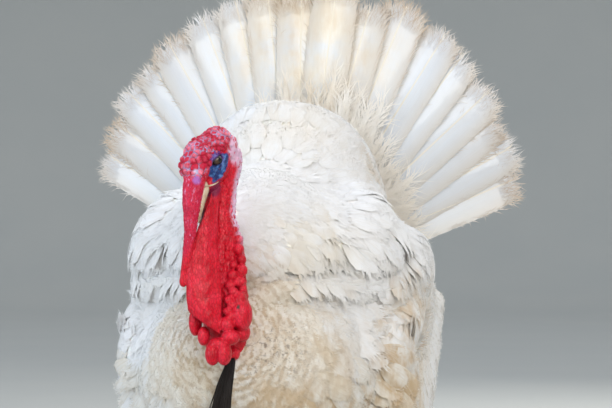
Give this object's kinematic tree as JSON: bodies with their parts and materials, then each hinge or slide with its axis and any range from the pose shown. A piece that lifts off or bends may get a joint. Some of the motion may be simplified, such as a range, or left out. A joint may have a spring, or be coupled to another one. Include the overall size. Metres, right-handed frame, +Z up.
{
  "type": "domestic turkey",
  "caption": "Life-size still model of a white domestic turkey cock in strut, tail fanned and wings lowered, standing on both feet.",
  "frame": {"origin": "on the floor under the middle of the bird's bounding box", "axes": "+Z up, the bird faces -Y, its left side is +X"},
  "size_m": [0.7049, 0.6445, 0.9052],
  "materials": {
    "white_feather": "soft matt feather with cream stains",
    "red_skin": "moist bare skin",
    "horn": "worn horn",
    "leg_skin": "scaled skin",
    "black_bristle": "coarse bristle",
    "eye": "wet gloss"
  },
  "bodies": {
    "root": {"beak_lower": "horn", "beak_upper": "horn", "beard": "black_bristle", "claw_left_hind": "horn", "claw_left_inner": "horn", "claw_left_middle": "horn", "claw_left_outer": "horn", "claw_right_hind": "horn", "claw_right_inner": "horn", "claw_right_middle": "horn", "claw_right_outer": "horn", "dewlap": "red_skin", "eye_left": "eye", "eye_right": "eye", "foot_left": "leg_skin", "foot_right": "leg_skin", "head": "red_skin", "neck": "red_skin", "shank_left": "leg_skin", "shank_right": "leg_skin", "snood": "red_skin", "spur_left": "horn", "spur_right": "horn", "tail": "white_feather", "tail_coverts": "white_feather", "thigh_left": "white_feather", "thigh_right": "white_feather", "torso": "white_feather", "undertail": "white_feather", "wing_left": "white_feather", "wing_right": "white_feather"}
  },
  "joints": []
}
